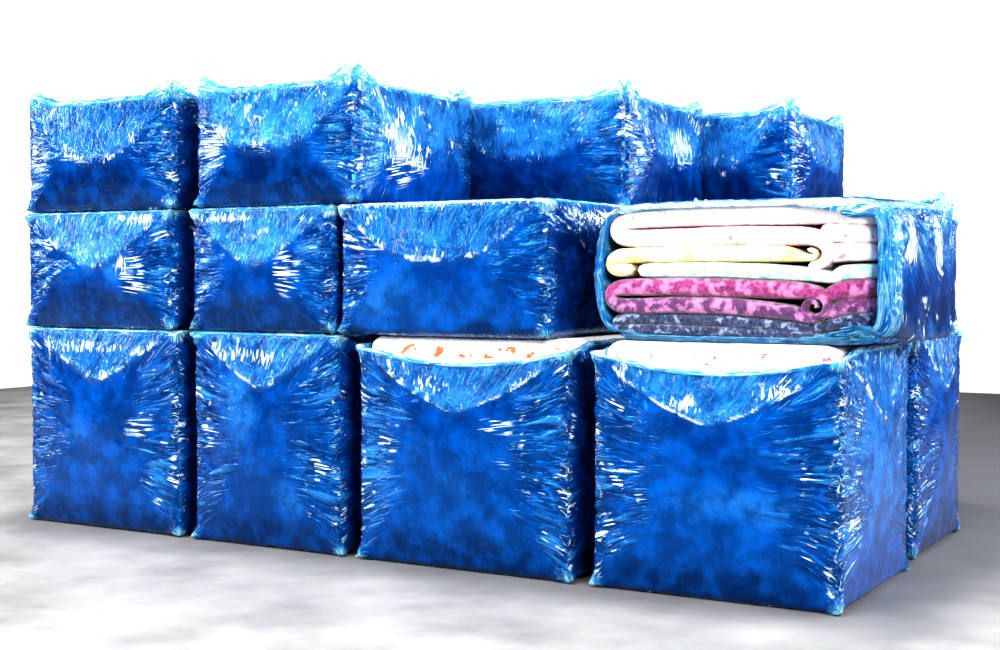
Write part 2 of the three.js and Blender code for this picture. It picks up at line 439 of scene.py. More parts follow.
def flap_relief(face, flap, seed):
    """The film folded down over a face: a proud lap that ends in a hanging fold line. Gives
    its height, how free it stands, which is painted pale in part as a painted sheen, its lower
    edge and its fold line, which is painted bright as a painted highlight."""
    depth, roundness, crispness, paleness = flap
    fall = (1 - face.up) * face.half[2]
    place = face.aside * face.half[face.across]
    hem = depth * 2 * face.half[2] * (1 - (face.aside ** 2 + 0.006) ** (roundness / 2))
    hem += 0.012 * gradient_noise(place / 0.07, fall / 0.2, seed + 90)
    hem += 0.06 * (1.1 - crispness) * gradient_noise(place / 0.26, fall / 0.9, seed + 92)
    inside = hem - fall
    held = smooth(0.0, 0.10, hem)
    blur = 0.007 + 0.03 * (1 - crispness)
    lap = smooth(-blur, blur, inside)
    fold = crispness * np.exp(-((inside - 0.012) / 0.011) ** 2)
    edge = held * smooth(-0.004, 0.008, inside) * (1 - smooth(0.025, 0.085, inside))
    rucks = FLAP_RUCK * edge * ridges(place / 0.03, fall / 0.12, seed + 94)
    free = paleness * held * smooth(-0.6 * blur, 1.7 * blur, inside)
    line = held * crispness * np.exp(-((inside - 0.010) / 0.009) ** 2)
    return held * (FLAP_LAP * lap + FLAP_FOLD * fold) + rucks, free, edge, line


def face_brow(face, seed):
    """Short slanting rucks under the top edge of a face, and a broken line below it that is painted
    bright, a painted highlight.
    """
    below = face.distance[2]
    brow = (1 - smooth(0.015, 0.055, below)) * (face.up > 0)
    lean = face.aside * face.half[face.across] + 0.7 * below
    rucks = BROW_RUCK_HEIGHT * brow * ridges(lean / 0.030, below / 0.07, seed + 17, 0.35, 1.7)
    line = np.exp(-((below - BROW_LINE_DROP - 0.3 * face.waver) / 0.011) ** 2) * (face.up > 0)
    line *= smooth(-0.05, 0.3, gradient_noise(face.flat[0] / 0.5, face.flat[1] / 0.09, seed + 19))
    return rucks, line


def film_tone(face, folded, foot, face_tone, pale_side, pressed, seed):
    """How free the film stands over a face, from -1 where it clings to the blankets, dark, to
    1 where it hangs loose, pale. The dark sector under the swell and a side hidden against the
    next bale are painted shade, and the pale flaps and the right side's pale top are partly
    painted sheen. Also gives how much of it is hidden against the next bale."""
    wander = 2.2 * face.waver
    low = face.distance[2] + wander
    # The sector under the swell, up to the foot's height, is painted dark: a painted shade.
    sunk = smooth(-0.05, 0.05, face.distance[face.across] - face.distance[2] + wander) * (face.up < 0)
    deep = sunk * (1 - smooth(0.4 * foot, foot, low))
    slackness = smooth(0.0, 0.5, gradient_noise(face.flat[0] / 0.20, face.flat[1] / 0.24, seed + 23))
    mottled = (MOTTLE_PALE * slackness + face_tone * (1 - slackness)) * smooth(0, 0.08, face.least)
    folded = np.where(folded > 0.02, np.maximum(folded, mottled), mottled)
    tone = folded * (1 - deep) - deep
    # The right side is painted paler towards its top: a painted sheen.
    if face.normal_axis == 0 and face.side > 0:
        off = pale_side * smooth(-0.95, 0.1, face.up) * smooth(0, 0.05, face.distance[1])
        tone = np.where(off > 0, np.maximum(tone, off * (1 - deep)), tone)
    # A side hidden against the next bale is painted dark: a painted shade.
    hidden = np.zeros(len(face.p))
    if face.normal_axis == 0 and pressed[face.side > 0]:
        hidden = smooth(0.01, 0.06, np.minimum(*face.distance.values()))
    return tone * (1 - hidden) - hidden, hidden


def face_glints(face, glints):
    """Painted highlights: soft bright spots on a face that looks forwards or to the right."""
    looks = {(1, -1): "front", (0, 1): "right"}.get((face.normal_axis, face.side))
    bright = np.zeros(len(face.p))
    for aside, up, wide, tall, strength in glints.get(looks, ()):
        off = ((face.aside - aside) / wide) ** 2 + ((face.up - up) / tall) ** 2
        bright = np.maximum(bright, strength * np.exp(-off))
    return bright


def draw_ears(point, outward, square, low, high, free_lid, ear_drop, open_front, seed):
    """Draws the film out at each corner and crumples it. On a free lid the ears stand up as
    fins along the lid's edges, highest a little way in from the corner. Gives how far each
    point belongs to an ear."""
    ear = np.zeros(len(point))
    crumple = gradient_noise(square[:, 0] / 0.026 + square[:, 1] / 0.031, square[:, 2] / 0.026, seed + 60)
    crumple += 0.6 * gradient_noise(square[:, 0] / 0.013, (square[:, 2] + square[:, 1]) / 0.014, seed + 61)
    for corner in np.ndindex(2, 2, 2):
        sign = np.array(corner) * 2 - 1
        if open_front and sign[1] < 0:
            continue
        arm = np.abs(square - ((low + high) / 2 + sign * (high - low) / 2))
        if sign[2] > 0 and free_lid:
            pull = np.zeros(len(point))
            for along in (0, 1):
                climb = 0.35 + 0.65 * smooth(0, EAR_PEAK_IN, arm[:, along])
                fall = np.clip(1 - (arm[:, along] - EAR_PEAK_IN) / EAR_FIN_LENGTH, 0, 1) ** 1.4
                thin = np.clip(1.15 - arm[:, 1 - along] / EAR_FIN_WIDTH, 0, 1)
                pull = np.maximum(pull, climb * fall * thin)
            pull *= np.clip(1 - arm[:, 2] / EAR_FIN_DEPTH, 0, 1)
            aim = np.array([sign[0] * 0.004, sign[1] * 0.002, LID_EAR + EAR_ABOVE - ear_drop])
        else:
            pull = np.clip(1 - np.linalg.norm(arm, axis=1) / CORNER_REACH, 0, 1)
            aim = np.array([sign[0] * CORNER_DRAW, sign[1] * CORNER_DRAW, 0.0])
        point += (pull ** 1.15)[:, None] * aim
        point += outward * (EAR_CRUMPLE * crumple * smooth(0, 0.25, pull))[:, None]
        ear = np.maximum(ear, np.clip((1.3 if sign[2] > 0 else 0.75) * pull, 0, 1))
    return ear


def film_bag(node, cell, seed, flap, foot, free_lid=False, mouth=None, ear_drop=0.0,
             pressed=(False, False), pale_side=0.0, face_tone=FACE_TONE, glints=None):
    """A filled bag in the space of its CAD solid. The flap has a depth, as a share of the
    bag's height, a roundness, from a V at 1 to a U at 3, a crispness and a paleness, in part a
    painted sheen. The foot is the height of the sector under the swell that is painted dark, a
    painted shade. A mouth is an open face: its axis and side, how deep the bag is open, its
    rim's width, and how far the rim is pulled back at a place. A left or right side that is
    pressed against the next bale is painted dark, as painted shade, and has few creases. The
    right side can be painted pale towards its top, a painted sheen, and the face tone is how
    free the rest is."""
    low, high, outer_low, outer_high = seam_box(node)
    if free_lid:
        high[2] -= LID_EAR
    half = (high - low) / 2
    mesh, unit = cube_grid(f"{node}_film", high - low, cell)
    unit = crowded(unit)
    square = (low + high) / 2 + unit * half
    point, outward = rounded_box(square, low, high, SEAM_ROUND)

    swell, relief, faces_at = np.zeros(unit.shape), np.zeros(len(unit)), np.zeros(len(unit))
    marks = {mark: np.zeros(len(unit)) for mark in ("slack_sheen_and_shade", "flap_edge", "flap_line", "glint")}
    slack = np.ones(len(unit))
    random = np.random.default_rng(seed + 5)
    for normal_axis in range(3):
        for side in (-1, 1):
            face = Face(unit, half, normal_axis, side, seed)
            room = (outer_high - high if side > 0 else low - outer_low)[normal_axis]
            if normal_axis == 2:
                room = LID_CROWN if free_lid and side > 0 else CLEAR_OF_NEIGHBOUR
            swell[face.on, normal_axis] += side * face_crown(face, room, seed, random)
            creased = seam_gathers(face, seed)
            if normal_axis < 2:
                creased += long_creases(face, random) + corner_fans(face, seed + 11 * side)
                lap, folded, edge, line = flap_relief(face, flap, seed + 3 * side)
                rucks, brow_line = face_brow(face, seed)
                creased += lap + rucks
                tone, hidden = film_tone(face, folded, foot, face_tone, pale_side, pressed, seed)
                crisp = flap[2] > 0.5
                marks["slack_sheen_and_shade"][face.on] = tone
                marks["flap_edge"][face.on] = edge
                marks["flap_line"][face.on] = np.maximum(line, 0.5 * brow_line * crisp)
                bright = face_glints(face, glints or {})
                marks["glint"][face.on] = np.maximum(marks["glint"][face.on], bright)
                slack[face.on] -= 0.75 * hidden
            relief[face.on] += creased
            faces_at[face.on] += 1
    point += swell + outward * (relief / faces_at)[:, None]
    open_front = mouth is not None and mouth[0] == 1
    if mouth:
        outward, sunk_in = open_mouth(point, unit, half, outward, mouth)
    ear = draw_ears(point, outward, square, low, high, free_lid, ear_drop, open_front, seed)

    # The bag rests on what carries it, and carries what rests on it.
    point[:, 2] = np.maximum(point[:, 2], low[2] + CLEAR_OF_BEARER)
    if not free_lid:
        point[:, 2] = np.minimum(point[:, 2], high[2] - CLEAR_OF_BEARER)
    mesh.vertices.foreach_set("co", point.ravel())

    # The film along the top edges and round a mouth is painted as pale as the ears, partly a painted
    # highlight where the edges catch the light.
    rim_height = LID_RIM if free_lid else LOADED_RIM
    in_from_side = np.min((1 - np.abs(unit[:, :2])) * half[:2], axis=1)
    top_edge = 1 - smooth(0.2 * rim_height, rim_height, (1 - unit[:, 2]) * half[2])
    ear = np.maximum(ear, 0.7 * top_edge * (1 - smooth(0.015, 0.05, in_from_side)))
    if mouth:
        axis, side = mouth[:2]
        band, paleness = (0.09, 0.34) if open_front else (0.03, 0.9)
        behind = (1 - side * unit[:, axis]) * half[axis]
        rim = paleness * (1 - smooth(0.3 * band, band, behind))
        ear = np.maximum(ear, rim) * np.where(behind < 1e-6, 1 - 0.9 * sunk_in, 1)
    # The sleeve's right side is painted pale towards its top and dark towards its foot: painted sheen and
    # painted shade.
    if open_front:
        up = unit[:, 2]
        right_side = 0.9 * smooth(-0.2, 0.5, up) - 0.8 * smooth(0.1, -0.5, up)
        marks["slack_sheen_and_shade"] = np.where(unit[:, 0] > 1 - 1e-6, right_side, marks["slack_sheen_and_shade"])
    finish_film(mesh, unit, half, ear, slack, marks, seed, open_front)
    piece = smooth_piece(f"{node}_film", mesh, film)
    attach(piece, "root")
    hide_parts(node)


def finish_film(mesh, unit, half, ear, slack, marks, seed, open_front):
    """Gives the film what its finish follows. The colour attribute holds how strong the
    creases of both pairs of seams are and how far a point belongs to an ear. The UV maps hold,
    for each pair of seams, the place along and away from them, then the place along and away
    from the nearest seam, and the place on the flat face. On a bale that is open at the front
    the creases of the sides fan out from the mouth's top corners."""
    loops = len(mesh.loops)
    vertex = np.empty(loops, np.int32)
    mesh.loops.foreach_get("vertex_index", vertex)
    at = unit[vertex]
    middle = at.reshape(-1, 4, 3).mean(1)
    axis_of_face = np.argmax(np.abs(middle), axis=1)
    side_of_face = np.sign(middle[np.arange(len(middle)), axis_of_face])
    face_axis, face_side = np.repeat(axis_of_face, 4), np.repeat(side_of_face, 4)
    gather = np.zeros((loops, 4))
    gather[:, 3] = 1
    seam = np.zeros(loops)
    uv = [np.zeros((loops, 2)) for _ in range(4)]
    for normal_axis in range(3):
        pick = face_axis == normal_axis
        p = at[pick]
        axes, distance, run = seam_distances(p, half, normal_axis)
        for layer, (along, across) in enumerate((axes, axes[::-1])):
            near, far = distance[across], distance[along]
            reach = (0.32 if along == 2 else 0.26) * min(1.0, run / 0.3)
            strength = smooth(-0.03, 0.05, far - near) * (1 - smooth(0.15 * reach, reach, near))
            if across == 2:
                strength = strength * np.where(p[:, 2] < 0, 0.15, 0.8)
            if along == 2:
                seam[pick] = 1 - smooth(0.018, 0.055, near)
            gather[pick, layer] = strength
            slant = 0.35 * near if across == 2 else 0.0
            fan = p[:, along] * half[along] * (1 + 0.6 * near / reach) + slant
            uv[layer][pick, 0] = fan + 3.1 * np.sign(p[:, across])
            uv[layer][pick, 1] = near + 5 * face_side[pick] + seed
        first_nearer = distance[axes[0]] < distance[axes[1]]
        uv[2][pick, 0] = np.where(first_nearer, p[:, axes[1]] * half[axes[1]],
                                  p[:, axes[0]] * half[axes[0]])
        uv[2][pick, 1] = np.minimum(*distance.values()) + seed
        wide, tall = sorted(axes)
        uv[3][pick, 0] = p[:, wide] * half[wide] + 5 * face_side[pick]
        uv[3][pick, 1] = p[:, tall] * half[tall] + seed
        if open_front and normal_axis == 0:
            aside, below = (1 + p[:, 1]) * half[1], (1 - p[:, 2]) * half[2]
            reach, turn = np.hypot(aside, below), np.arctan2(below, aside)
            uv[0][pick, 0] = 0.30 * turn + face_side[pick]
            uv[0][pick, 1] = 0.40 * reach
            gather[pick, 0] = 0.75 * smooth(0.03, 0.14, reach) * (1 - smooth(0.55, 0.95, reach))
            gather[pick, 1] *= 0.3
    gather[:, :2] *= slack[vertex][:, None]
    gather[:, 2] = ear[vertex]
    colour = mesh.color_attributes.new("gather", "FLOAT_COLOR", "CORNER")
    colour.data.foreach_set("color", gather.astype(np.float32).ravel())
    for label, values in (("upright_seam", seam), *((key, mark[vertex]) for key, mark in marks.items())):
        attribute = mesh.attributes.new(label, "FLOAT", "CORNER")
        attribute.data.foreach_set("value", values.astype(np.float32))
    for layer, label in enumerate(("first_seams", "second_seams", "edge_folds", "flat_face")):
        mesh.uv_layers.new(name=label).data.foreach_set("uv", uv[layer].astype(np.float32).ravel())


def smooth_piece(name, mesh, material):
    """Puts a finished mesh in the scene as a piece, shaded smooth and in its one material."""
    mesh.polygons.foreach_set("use_smooth", [True] * len(mesh.polygons))
    mesh.materials.append(material)
    piece = bpy.data.objects.new(name, mesh)
    bpy.context.collection.objects.link(piece)
    return piece


FILM_MID = "#002f70"
FILM_DEEP = "#001644"
FILM_PATCH = "#004aa0"
FILM_LIGHT = "#2e82cc"
FILM_EAR = "#58d4fc"
# The white of the highlights painted on the film.
FILM_PAINTED_HIGHLIGHT = "#e4f6ff"
FILM_GLOSS = "#20b8ff"

# Sizes of the patterns in the film's finish: across and along for creases, and all round for
# the mottling of the load and the crumple of the film.
FINE_CREASE_MM = (26, 110)
BROAD_FOLD_MM = (42, 190)
STROKE_MM = (13, 120)
SEAM_CRINKLE_MM = (22, 66)
FLAP_RIB_MM = (24, 70)
FLAP_STROKE_MM = (12, 60)
ROLLED_EDGE_MM = (130, 11)
PATCH_MM = 125
BREAK_MM = 48
BLOTCH_MM = 77
CRUMPLE_MM = 33
CRUMPLE_DEPTH = 0.012
CREASE_DEPTH = 0.0065


def film_material():
    """Blown polyethylene film, tinted blue and about 0.1 mm thick: a hard wet-looking gloss,
    deep where it clings to the blankets and light cyan where it stands free in folds. These
    tones are partly painted shade and painted sheen, and its white marks are painted highlights."""
    material, tree, shader = new_material("blue_polyethylene_film", {
        "Roughness": 0.10, "IOR": 1.51, "Specular Tint": linear(FILM_GLOSS), "Coat Weight": 0.06,
        "Coat Roughness": 0.05})
    place = add_node(tree, "TexCoord").outputs["Object"]
    gather = add_node(tree, "VertexColor", layer_name="gather")
    parts = add_node(tree, "SeparateColor", [gather]).outputs
    ear = parts["Blue"]
    seam, free, edge, line, glint = (
        add_node(tree, "Attribute", attribute_name=mark).outputs["Fac"]
        for mark in ("upright_seam", "slack_sheen_and_shade", "flap_edge", "flap_line", "glint"))
    patches = add_node(tree, "TexNoise", {"Vector": place, "Scale": 1000 / PATCH_MM, "Detail": 2.0})
    breaks = add_node(tree, "TexNoise", {"Vector": place, "Scale": 1000 / BREAK_MM, "Detail": 1.0})
    blotches = add_node(tree, "TexNoise", {"Vector": place, "Scale": 1000 / BLOTCH_MM, "Detail": 5.0,
                                           "Roughness": 0.6})

    def creases(label, size_mm, distortion):
        """Noise drawn out along the seams, as wide and as long as the creases are."""
        drawn_out = add_node(tree, "Mapping", {"Vector": add_node(tree, "UVMap", uv_map=label),
                                               "Scale": (1000 / size_mm[0], 1000 / size_mm[1], 1)})
        return add_node(tree, "TexNoise", {"Vector": drawn_out, "Scale": 1.0, "Detail": 1.5,
                                           "Roughness": 0.45, "Distortion": distortion},
                        noise_dimensions="2D")

    def crests(noise, width):
        """Thin crests along the lines where the noise crosses its middle value."""
        off = add_node(tree, "Math", [noise, 0.5], operation="SUBTRACT")
        off = add_node(tree, "Math", [off], operation="ABSOLUTE")
        return add_node(tree, "MapRange", [off, 0.0, width, 1.0, 0.0])

    # Creases at both pairs of seams, and white strokes among them in clusters, as painted highlights.
    # A Map Range takes the value, the range that it reads and the range that it gives.
    clustered = add_node(tree, "MapRange", [patches, 0.40, 0.62, 0.09, 0.6])
    in_patches = add_node(tree, "MapRange", [patches, 0.49, 0.61])
    broken = add_node(tree, "MapRange", [breaks, 0.44, 0.58, 0.1, 1.0])
    in_clusters = add_node(tree, "Math", [in_patches, broken], operation="MULTIPLY")
    off_ears = add_node(tree, "MapRange", [ear, 0.08, 0.30, 1.0, 0.15])
    gathered, hollows, strokes = 0.0, 0.0, 0.0
    tapered = {}
    for label, channel in (("first_seams", "Red"), ("second_seams", "Green")):
        pulled = add_node(tree, "Math", [parts[channel], off_ears], operation="MULTIPLY")
        fine = crests(creases(label, FINE_CREASE_MM, 0.5), 0.11)
        broad = add_node(tree, "MapRange", [creases(label, BROAD_FOLD_MM, 0.3), 0.58, 0.74])
        folds = add_node(tree, "Math", [fine, clustered, broad], operation="MULTIPLY_ADD")
        between = add_node(tree, "Math", [1.0, fine], operation="SUBTRACT")
        tapered[label] = add_node(tree, "MapRange", [creases(label, STROKE_MM, 0.25), 0.56, 0.63])
        stroke = add_node(tree, "Math", [tapered[label], in_clusters], operation="MULTIPLY")
        gathered = add_node(tree, "Math", [folds, pulled, gathered], operation="MULTIPLY_ADD")
        hollows = add_node(tree, "Math", [between, pulled, hollows], operation="MULTIPLY_ADD")
        strokes = add_node(tree, "Math", [stroke, pulled, strokes], operation="MULTIPLY_ADD")

    # Crinkles on the upright seams, ribs where the film hangs loose, and rolled edges.
    seam_off_ears = add_node(tree, "MapRange", [ear, 0.08, 0.30, 1.0, 0.1])
    at_seam = add_node(tree, "Math", [seam, seam_off_ears], operation="MULTIPLY")
    hanging = add_node(tree, "MapRange", [free, 0.2, 0.9, 0.0, 0.6])
    loose = add_node(tree, "Math", [edge, hanging], operation="MAXIMUM")
    at_edge = add_node(tree, "MapRange", [ear, 0.05, 0.45])
    crinkle, ribs, rolled = (
        add_node(tree, "Math", [crests(noise, width), share], operation="MULTIPLY")
        for noise, width, share in ((creases("first_seams", SEAM_CRINKLE_MM, 0.7), 0.068, at_seam),
                                    (creases("flat_face", FLAP_RIB_MM, 0.6), 0.078, loose),
                                    (creases("edge_folds", ROLLED_EDGE_MM, 0.8), 0.13, at_edge)))

    # Painted highlights: strokes, ribs, crinkles, glints, the flap's line and the edges.
    hung = add_node(tree, "MapRange", [free, 0.1, 0.4])
    hung_strokes = add_node(tree, "MapRange", [creases("flat_face", FLAP_STROKE_MM, 0.4), 0.55, 0.63])
    streaks = add_node(tree, "Mix", {"Factor": hung, "A": tapered["first_seams"], "B": hung_strokes})
    streaks = add_node(tree, "Math", [streaks, 0.22], operation="ADD")
    rib_breaks = add_node(tree, "MapRange", [breaks, 0.44, 0.60, 0.05, 1.0])
    rib_patches = add_node(tree, "MapRange", [patches, 0.44, 0.56, 0.10, 1.0])
    rib_share = add_node(tree, "Math", [rib_breaks, rib_patches], operation="MULTIPLY")
    crinkle_share = add_node(tree, "MapRange", [breaks, 0.42, 0.62, 0.12, 0.9])
    line_share = add_node(tree, "MapRange", [breaks, 0.40, 0.60, 0.15, 0.75])
    white = add_node(tree, "MapRange", [ear, 0.55, 0.95, 0.0, 0.35])
    for shape, share in ((strokes, 1.0), (ribs, rib_share), (crinkle, crinkle_share), (streaks, glint),
                         (line, line_share), (rolled, 0.6)):
        white = add_node(tree, "Math", [shape, share, white], operation="MULTIPLY_ADD")
    painted_highlights = add_node(tree, "MapRange", [white, 0.30, 0.85, 0.0, 0.85])

    # The film's colour, from the load that it lies on outwards. The deep colour where it clings
    # is partly painted shade, and the light colour where it stands free is partly painted sheen.
    patched = add_node(tree, "MapRange", [blotches, 0.40, 0.64])
    clung_and_shaded = add_node(tree, "MapRange", [free, 0.0, -1.0, 0.0, 0.9])
    clung_load = add_node(tree, "MapRange", [blotches, 0.44, 0.62, 1.0, 0.62])
    slack_and_sheen = add_node(tree, "MapRange", [free, 0.0, 1.0, 0.0, 0.75])
    free_load = add_node(tree, "MapRange", [blotches, 0.38, 0.60, 0.25, 1.0])
    # The hollows between the creases are painted dark: a painted shade.
    hollow_shade = add_node(tree, "MapRange", [hollows, 0.2, 1.0, 0.0, 0.55])
    on_folds = add_node(tree, "MapRange", [gathered, 0.15, 1.0, 0.0, 0.5])
    folded_ear = add_node(tree, "Math", [breaks, rolled], operation="ADD")
    folded_ear = add_node(tree, "MapRange", [folded_ear, 0.40, 0.80, 0.15, 1.0])
    on_ears = add_node(tree, "MapRange", [ear, 0.2, 0.85, 0.0, 0.95])
    layers = [(FILM_PATCH, patched), (FILM_DEEP, clung_and_shaded, clung_load), (FILM_LIGHT, slack_and_sheen, free_load),
              (FILM_DEEP, hollow_shade), (FILM_LIGHT, on_folds), (FILM_EAR, on_ears, folded_ear),
              (FILM_PAINTED_HIGHLIGHT, painted_highlights)]
    tree.links.new(painted(tree, FILM_MID, layers), shader.inputs["Base Color"])

    # Relief: the crumple of the whole film, more of it on the ears, and the creases over it.
    crumple = add_node(tree, "TexNoise", {"Vector": place, "Scale": 1000 / CRUMPLE_MM, "Detail": 3.0,
                                          "Distortion": 0.8})
    crumpled = add_node(tree, "Math", [ear, 0.16], operation="ADD")
    crumpled = add_node(tree, "Math", [crumple, crumpled], operation="MULTIPLY")
    height = gathered
    for shape, share in ((crinkle, 0.7), (ribs, 0.7), (rolled, 0.5)):
        height = add_node(tree, "Math", [shape, share, height], operation="MULTIPLY_ADD")
    coarse = add_node(tree, "Bump", {"Strength": 1.0, "Distance": CRUMPLE_DEPTH, "Height": crumpled})
    relief = add_node(tree, "Bump", {"Strength": 1.0, "Distance": CREASE_DEPTH, "Height": height,
                                     "Normal": coarse})
    tree.links.new(relief.outputs["Normal"], shader.inputs["Normal"])
    return material


film = film_material()

# A bag's mesh has smaller cells where the bag is seen. Each flap is given as its depth,
# roundness, crispness and paleness, which is in part a painted sheen. Each glint, a painted
# highlight, is given by the way its face looks, as its place aside and up as shares of the half
# face, its width, its height and its strength.
CELL_SEEN = (0.010, 0.016, 0.010)
CELL_PARTLY_SEEN = (0.015, 0.015, 0.013)
CELL_UNSEEN = (0.024, 0.024, 0.020)
PARTLY_SEEN = ("bottom_centre_bale_4", "top_centre_bale_3", "top_back_bale_3")
FLAPS = {"bottom": (0.28, 1.15, 1.0, 0.6), "middle": (0.51, 1.4, 0.6, 1.0), "top": (0.58, 2.6, 0.35, 0.8)}
# The foot is how high the dark sector under the swell is painted: a painted shade.
FEET = {"bottom": 0.15, "middle": 0.24, "top": 0.26}
LONG_BALE = "middle_front_bale_3"
LONG_BALE_FLAP = (0.47, 2.2, 0.8, 0.45)
LONG_BALE_FOOT = 0.05
# Some flaps are painted paler than the rest: a painted sheen.
PALE_FLAPS = {"top_front_bale_1": 0.45, "top_front_bale_2": 1.0}
# These right sides are painted pale towards the top: a painted sheen.
PALE_SIDES = {"top_front_bale_2": 0.7}
BALE_UNDER_LEDGE = "middle_centre_bale_4"
LEDGE_EAR_DROP = 0.028
GLINTS = {
    "top_front_bale_1": {"front": [(-0.80, -0.04, 0.14, 0.14, 1.0), (-0.19, -0.05, 0.26, 0.07, 1.0)]},
    "top_front_bale_2": {"front": [(-0.74, -0.05, 0.16, 0.26, 1.9), (-0.10, -0.02, 0.10, 0.10, 1.1)],
                         "right": [(-0.38, -0.02, 0.22, 0.50, 2.3), (-0.15, -0.25, 0.20, 0.20, 2.0)]},
    "top_centre_bale_3": {"right": [(0.20, 0.20, 0.24, 0.26, 2.2)]},
    "middle_front_bale_1": {"front": [(0.52, -0.05, 0.14, 0.30, 1.7), (0.55, 0.84, 0.24, 0.07, 1.6),
                                      (-0.66, 0.43, 0.10, 0.08, 1.6)]},
    "middle_front_bale_2": {"front": [(0.44, -0.05, 0.14, 0.30, 1.7), (-0.58, 0.84, 0.28, 0.07, 1.6)]},
    "middle_front_bale_3": {"front": [(-0.67, 0.38, 0.22, 0.09, 1.2), (-0.03, 0.20, 0.14, 0.08, 1.0),
                                      (-0.10, 0.98, 0.90, 0.05, 2.6)],
                            "right": [(0.30, 0.80, 0.45, 0.12, 1.8)]},
    "bottom_front_bale_1": {"front": [(0.57, 0.05, 0.18, 0.16, 0.6), (-0.27, 0.82, 0.50, 0.045, 1.8)]},
    "bottom_front_bale_2": {"front": [(-0.77, -0.06, 0.12, 0.14, 0.8), (-0.30, 0.79, 0.50, 0.045, 1.8)]},
}
CLOSED_BALES = {"front": (2, 3, 2), "centre": (4, 4, 3), "back": (4, 4, 3)}

serial = 0
for row, counts in CLOSED_BALES.items():
    for tier, bales in zip(FLAPS, counts):
        for number in range(1, bales + 1):
            node = f"{tier}_{row}_bale_{number}"
            serial += 1
            cell = CELL_PARTLY_SEEN if node in PARTLY_SEEN else CELL_UNSEEN
            if row == "front":
                cell = CELL_SEEN
            flap, foot = FLAPS[tier], FEET[tier]
            if node == LONG_BALE:
                flap, foot = LONG_BALE_FLAP, LONG_BALE_FOOT
            flap = (*flap[:3], PALE_FLAPS.get(node, flap[3]))
            right_free = number == bales and (row != "front" or tier == "top")
            film_bag(node, cell, 100 * serial, flap, foot,
                     free_lid=tier == "top" or node == BALE_UNDER_LEDGE,
                     ear_drop=LEDGE_EAR_DROP if node == BALE_UNDER_LEDGE else 0.0,
                     pressed=(number > 1, not right_free), pale_side=PALE_SIDES.get(node, 0.0),
                     face_tone=0.0 if node == LONG_BALE else FACE_TONE, glints=GLINTS.get(node))


# Fleece: polyester blankets, knitted and brushed to a deep soft pile, and printed in pale
# colours. The pile's tufts are only a few millimetres wide, too fine to show from the camera,
# so they are drawn as coarser clumps.
PILE_CLUMP_MM = 11
PILE_DEPTH = 0.005
PRINT_BLUR = 0.07
REVERSE_BELOW = 0.934
REVERSE_BLUR = 0.008
REVERSE_SHARE = 0.8
FOLD_PINK_GREY = "#b89a98"


def fleece_material(name, ground, shade, print_colour, print_share, print_mm, fold_colour=FOLD_PINK_GREY,
                    reverse_colour=None, print_row=None):
    """Brushed fleece: a matt pile that glows at its edges, with soft printed blotches, its
    border colour deep in the folds, partly a painted shade, and, where given, its reverse on the
    lower layer. The print can be kept to a row between two heights."""
    material, tree, shader = new_material(name, {
        "Roughness": 0.95, "Specular IOR Level": 0.15, "Sheen Weight": 0.5, "Sheen Roughness": 0.5})
    place = add_node(tree, "TexCoord").outputs["Object"]
    height = add_node(tree, "SeparateXYZ", [place]).outputs["Z"]
    clumps = add_node(tree, "TexNoise", {"Vector": place, "Scale": 1000 / PILE_CLUMP_MM, "Detail": 4.0})
    raised = add_node(tree, "MapRange", [clumps, 0.35, 0.7])
    layers = [(ground, raised)]
    if reverse_colour:
        lower = add_node(tree, "MapRange", [height, REVERSE_BELOW + REVERSE_BLUR,
                                            REVERSE_BELOW - REVERSE_BLUR, 0.0, REVERSE_SHARE])
        layers.append((reverse_colour, lower))
    blots = add_node(tree, "TexNoise", {"Vector": place, "Scale": 1000 / print_mm, "Detail": 2.0})
    bare = 1.0 - print_share
    printed = [add_node(tree, "MapRange", [blots, bare - PRINT_BLUR, bare + PRINT_BLUR])]
    if print_row:
        low, high = print_row
        printed.append(add_node(tree, "Math", [height, (low + high) / 2, (high - low) / 2],
                                operation="COMPARE"))
    in_fold = add_node(tree, "Attribute", attribute_name="in_fold").outputs["Fac"]
    layers += [(print_colour, *printed), (fold_colour, in_fold)]
    tree.links.new(painted(tree, shade, layers), shader.inputs["Base Color"])
    tufts = add_node(tree, "Bump", {"Strength": 0.8, "Distance": PILE_DEPTH, "Height": clumps})
    tree.links.new(tufts.outputs["Normal"], shader.inputs["Normal"])
    return material


# Open bags: two bales of the bottom tier whose bags are left open at the top. The front of
# the mouth sags under the top blanket, which bulges out over it in a thick white fold.
LIP_DROP_CORNER = 0.021
LIP_DROP_MIDDLE = 0.075
LIP_BELOW_TOP = 0.004
POCKET_DEPTH = 0.16
POCKET_RIM = 0.008
BAG_FLAP = (0.33, 1.15, 1.0, 0.65)
# The bags' right sides are painted pale towards the top: a painted sheen.
BAG_PALE_SIDE = 0.55
# Glints on the bags' fronts: painted highlights.
BAG_GLINTS = {
    3: {"front": [(0.37, 0.27, 0.15, 0.06, 1.2), (0.47, -0.04, 0.10, 0.04, 1.1),
                  (-0.25, 0.70, 0.16, 0.09, 1.2)]},
    4: {"front": [(-0.68, -0.03, 0.16, 0.07, 1.2), (-0.20, 0.62, 0.18, 0.09, 1.2),
                  (0.50, 0.76, 0.16, 0.07, 1.1)]},
}
BLANKET_CELL = (0.010, 0.020, 0.010)
BLANKET_INSET = 0.020
BLANKET_DEPTH = 0.145
BLANKET_BELOW_TOP = 0.001
BLANKET_ROUND = 0.05
BLANKET_BULGE = 0.016
BLANKET_LUMPS = 0.004
PRINT_ROW = (0.728, 0.770)


